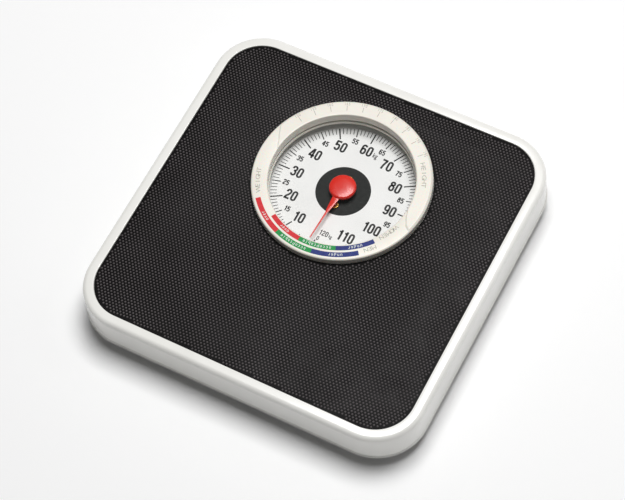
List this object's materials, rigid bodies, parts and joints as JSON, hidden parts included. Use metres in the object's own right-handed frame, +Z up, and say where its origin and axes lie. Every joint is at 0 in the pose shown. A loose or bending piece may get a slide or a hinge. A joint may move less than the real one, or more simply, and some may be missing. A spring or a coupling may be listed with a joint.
{
  "type": "mechanical dial platform scale",
  "caption": "Low white enamelled bathroom scale with a black ribbed mat and a round dial under a turning ivory ring; platform presses on levers that turn a red pointer.",
  "frame": {"origin": "under the middle of the platform, at the bottom of the feet", "axes": "+X to the user's right, +Y to the dial edge, +Z up"},
  "size_m": [0.27, 0.2668, 0.0458],
  "materials": {
    "enamel_white": "gloss enamel",
    "vinyl_black": "fine textured matt vinyl",
    "ivory_abs": "fine satin moulded plastic",
    "clear_lens": "clear",
    "dial_face": "satin white print ground",
    "pointer_red": "gloss",
    "base_paint": "semi-gloss",
    "rubber_feet": "matt",
    "brass": "satin",
    "spring_steel": "bright drawn wire",
    "knob_black": "moulded",
    "zinc_steel": "zinc plated"
  },
  "bodies": {
    "base": {"anchor_pivot_pin": "zinc_steel", "base_rivets": "zinc_steel", "base_tray": "base_paint", "crank_bracket": "zinc_steel", "crank_pivot_pin": "zinc_steel", "dial_plate": "dial_face", "dial_screws": "brass", "foot_front_left": "rubber_feet", "foot_front_right": "rubber_feet", "foot_rear_left": "rubber_feet", "foot_rear_right": "rubber_feet", "fulcrum_bracket_front_left": "zinc_steel", "fulcrum_bracket_front_right": "zinc_steel", "fulcrum_bracket_rear_left": "zinc_steel", "fulcrum_bracket_rear_right": "zinc_steel", "keeper_spring_1": "spring_steel", "keeper_spring_2": "spring_steel", "keeper_spring_3": "spring_steel", "keeper_spring_4": "spring_steel", "lower_bearing_strap": "zinc_steel", "main_spring": "spring_steel", "mechanism_bracket": "zinc_steel", "pinion_bush": "brass", "rack_guide": "zinc_steel", "spring_anchor_arm": "zinc_steel", "spring_bridge": "zinc_steel", "zero_bush": "brass", "zero_nut": "brass"},
    "platform": {"platform_cover": "enamel_white", "non_slip_mat": "vinyl_black", "bezel_collar": "ivory_abs", "bezel_retainer": "zinc_steel", "dial_lens": "clear_lens", "load_bearer_front_left": "zinc_steel", "load_bearer_front_right": "zinc_steel", "load_bearer_rear_left": "zinc_steel", "load_bearer_rear_right": "zinc_steel"},
    "bmi_ring": {"bmi_ring": "ivory_abs"},
    "long_levers": {"long_lever_left": "zinc_steel", "long_lever_right": "zinc_steel", "long_lever_knives": "zinc_steel"},
    "short_levers": {"short_lever_left": "zinc_steel", "short_lever_right": "zinc_steel", "short_lever_knives": "zinc_steel"},
    "calibrating_plate": {"calibrating_plate": "zinc_steel"},
    "crank": {"crank": "zinc_steel", "crank_pins": "zinc_steel"},
    "rack": {"rack": "zinc_steel"},
    "pointer": {"pinion": "brass", "pinion_shaft": "zinc_steel", "pointer_needle": "pointer_red", "pointer_cap": "pointer_red"},
    "zero_adjuster": {"zero_wheel": "knob_black", "zero_screw": "zinc_steel"}
  },
  "joints": [
    {"name": "platform_press", "type": "slide", "parent": "base", "child": "platform", "axis": [0, 0, -1], "range_m": [0, 0.001], "stiffness_N_per_m": 20000, "springref_m": -0.001, "deforming": ["keeper_spring_1", "keeper_spring_2", "keeper_spring_3", "keeper_spring_4"]},
    {"name": "ring_turn", "type": "hinge", "parent": "platform", "child": "bmi_ring", "pos_m": [0, 0.0416, 0.04006], "axis": [0, 0, 1], "continuous": true},
    {"name": "long_lever_swing", "type": "hinge", "parent": "base", "child": "long_levers", "pos_m": [0, -0.1, 0.02008], "axis": [-1, 0, 0], "range_deg": [0, 2.39]},
    {"name": "short_lever_swing", "type": "hinge", "parent": "base", "child": "short_levers", "pos_m": [0, 0.1, 0.02008], "axis": [1, 0, 0], "range_deg": [0, 2.39]},
    {"name": "plate_drop", "type": "slide", "parent": "base", "child": "calibrating_plate", "axis": [0, 0, -1], "range_m": [0, 0.00858], "deforming": ["main_spring"]},
    {"name": "crank_swing", "type": "hinge", "parent": "base", "child": "crank", "pos_m": [-0.0056, 0.09197, 0.01094], "axis": [-1, 0, 0], "range_deg": [0, 55.4]},
    {"name": "rack_slide", "type": "slide", "parent": "base", "child": "rack", "axis": [0, 1, 0], "range_m": [0, 0.01257]},
    {"name": "pointer_turn", "type": "hinge", "parent": "base", "child": "pointer", "pos_m": [0, 0.0416, 0.02716], "axis": [0, 0, -1], "range_deg": [0, 360]},
    {"name": "zero_turn", "type": "hinge", "parent": "base", "child": "zero_adjuster", "pos_m": [0, 0.123, 0.01398], "axis": [0, 1, 0], "range_deg": [-360, 360]}
  ],
  "couplings": [
    {"joint": "long_lever_swing", "follows": "platform_press", "rad_per_m": 41.679},
    {"joint": "short_lever_swing", "follows": "platform_press", "rad_per_m": 41.679},
    {"joint": "plate_drop", "follows": "platform_press", "ratio": 8.5833},
    {"joint": "crank_swing", "follows": "platform_press", "rad_per_m": 966.91},
    {"joint": "rack_slide", "follows": "platform_press", "ratio": 12.566},
    {"joint": "pointer_turn", "follows": "platform_press", "rad_per_m": 6283.2}
  ]
}
